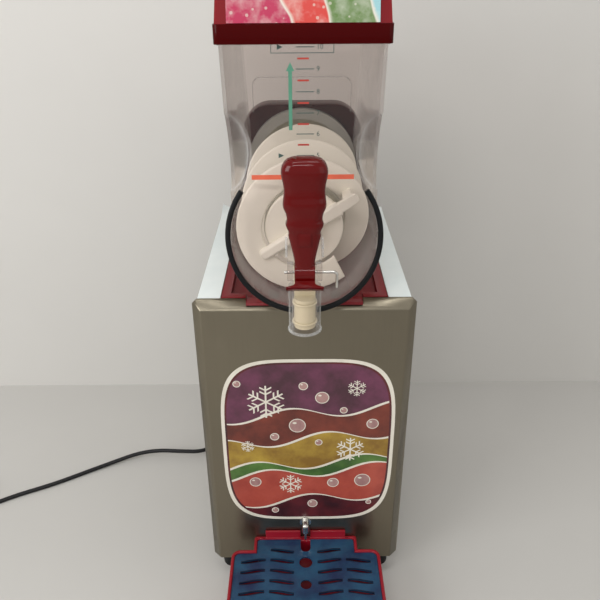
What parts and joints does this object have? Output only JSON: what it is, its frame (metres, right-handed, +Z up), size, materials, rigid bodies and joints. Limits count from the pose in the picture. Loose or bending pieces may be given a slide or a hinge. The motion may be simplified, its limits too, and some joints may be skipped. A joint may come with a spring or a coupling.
{
  "type": "slush machine",
  "caption": "Countertop slush dispenser with a clear bowl, a turning auger, a pull tap, a lit lid and a drip tray",
  "frame": {"origin": "centre of the box round the machine, at the surface that its feet stand on, measured without the mains cord", "axes": "+Z up, the front with the tap faces -Y, +X is to the right as seen from the front"},
  "size_m": [0.8142, 0.565, 0.832],
  "materials": {
    "steel": "brushed, worn",
    "galvanised": "zinc coated",
    "red_plastic": "moulded, dark red",
    "red_clear": "translucent dark red",
    "handle_red": "moulded red",
    "clear": "clear polycarbonate",
    "white_plastic": "moulded, food grade",
    "seal_rubber": "moulded",
    "black_plastic": "moulded",
    "polished_steel": "polished",
    "cold_steel": "polished",
    "cast": "cast",
    "black_steel": "enamelled",
    "copper": "drawn tube",
    "fins": "pressed fins",
    "cord_black": "smooth",
    "printed_sheet": "printed film",
    "grille_film": "steel under blue film",
    "hose": "soft",
    "board": "white board"
  },
  "bodies": {
    "cabinet": {"foot_front_left": "seal_rubber", "foot_front_right": "seal_rubber", "foot_rear_left": "seal_rubber", "foot_rear_right": "seal_rubber", "base_pan": "galvanised", "front_panel": "steel", "left_side_panel": "steel", "right_side_panel": "steel", "rear_panel": "steel", "panel_screws": "polished_steel", "deck": "red_plastic", "rear_housing": "red_plastic", "housing_cover": "red_plastic", "evaporator": "cold_steel", "evaporator_cap": "white_plastic", "shaft_seal": "seal_rubber", "shaft_bush": "white_plastic", "gearbox": "cast", "gear_motor": "black_steel", "bowl_gasket": "seal_rubber", "drain_spout": "polished_steel", "drain_hose": "hose", "compressor": "black_steel", "compressor_mounts": "seal_rubber", "condenser": "fins", "fan_shroud": "galvanised", "fan_motor": "cast", "fan_bracket": "galvanised", "filter_drier": "copper", "suction_pipe": "copper", "capillary_tube": "copper", "discharge_pipe": "copper", "liquid_pipe": "copper", "switch_plate": "black_plastic", "control_box": "galvanised", "strain_relief": "black_plastic", "power_cord": "cord_black", "cord_coil": "cord_black", "mains_plug": "cord_black"},
    "auger": {"auger": "white_plastic", "auger_nut": "white_plastic", "drive_shaft": "cold_steel"},
    "bowl": {"bowl": "clear", "front_ring": "seal_rubber"},
    "lid": {"lid_frame": "red_clear", "lid_sheet": "printed_sheet", "lid_base": "board", "lamp_board": "board"},
    "tap_handle": {"tap_handle": "handle_red"},
    "hinge_pin": {"hinge_pin": "polished_steel"},
    "piston": {"piston": "white_plastic", "piston_seals": "seal_rubber"},
    "drip_tray": {"drip_tray": "red_plastic"},
    "drip_grille": {"drip_grille": "grille_film"},
    "fan": {"fan_blade": "black_plastic"},
    "power_switch": {"power_switch": "black_plastic"},
    "cooling_switch": {"cooling_switch": "black_plastic"},
    "lamp_switch": {"lamp_switch": "black_plastic"},
    "knob": {"consistency_knob": "black_plastic"}
  },
  "joints": [
    {"name": "auger_spin", "type": "hinge", "parent": "cabinet", "child": "auger", "pos_m": [0, -0.098, 0.541], "axis": [0, 1, 0], "continuous": true},
    {"name": "bowl_slide", "type": "slide", "parent": "cabinet", "child": "bowl", "axis": [0, -1, 0], "range_m": [0, 0.3]},
    {"name": "lid_lift", "type": "slide", "parent": "bowl", "child": "lid", "axis": [0, 0, 1], "range_m": [0, 0.12]},
    {"name": "tap_pull", "type": "hinge", "parent": "bowl", "child": "tap_handle", "pos_m": [0, -0.147, 0.518], "axis": [1, 0, 0], "range_deg": [0, 50]},
    {"name": "piston_lift", "type": "slide", "parent": "bowl", "child": "piston", "axis": [0, 0, 1], "range_m": [0, 0.01457]},
    {"name": "pin_pull", "type": "slide", "parent": "bowl", "child": "hinge_pin", "axis": [1, 0, 0], "range_m": [0, 0.045]},
    {"name": "tray_pull", "type": "slide", "parent": "cabinet", "child": "drip_tray", "axis": [0, -1, 0], "range_m": [0, 0.08]},
    {"name": "grille_lift", "type": "slide", "parent": "drip_tray", "child": "drip_grille", "axis": [0, 0, 1], "range_m": [0, 0.08]},
    {"name": "fan_spin", "type": "hinge", "parent": "cabinet", "child": "fan", "pos_m": [0.07, 0.067, 0.145], "axis": [1, 0, 0], "continuous": true},
    {"name": "power_switch_tip", "type": "hinge", "parent": "cabinet", "child": "power_switch", "pos_m": [0.1268, -0.018, 0.399], "axis": [0, 1, 0], "range_deg": [-16, 0]},
    {"name": "cooling_switch_tip", "type": "hinge", "parent": "cabinet", "child": "cooling_switch", "pos_m": [0.1268, -0.018, 0.375], "axis": [0, 1, 0], "range_deg": [-16, 0]},
    {"name": "lamp_switch_tip", "type": "hinge", "parent": "cabinet", "child": "lamp_switch", "pos_m": [0.1268, -0.018, 0.351], "axis": [0, 1, 0], "range_deg": [-16, 0]},
    {"name": "knob_turn", "type": "hinge", "parent": "cabinet", "child": "knob", "pos_m": [0, 0.237, 0.6], "axis": [0, 1, 0], "range_deg": [-135, 135]}
  ],
  "couplings": [
    {"joint": "piston_lift", "follows": "tap_pull", "m_per_rad": 0.016466}
  ]
}
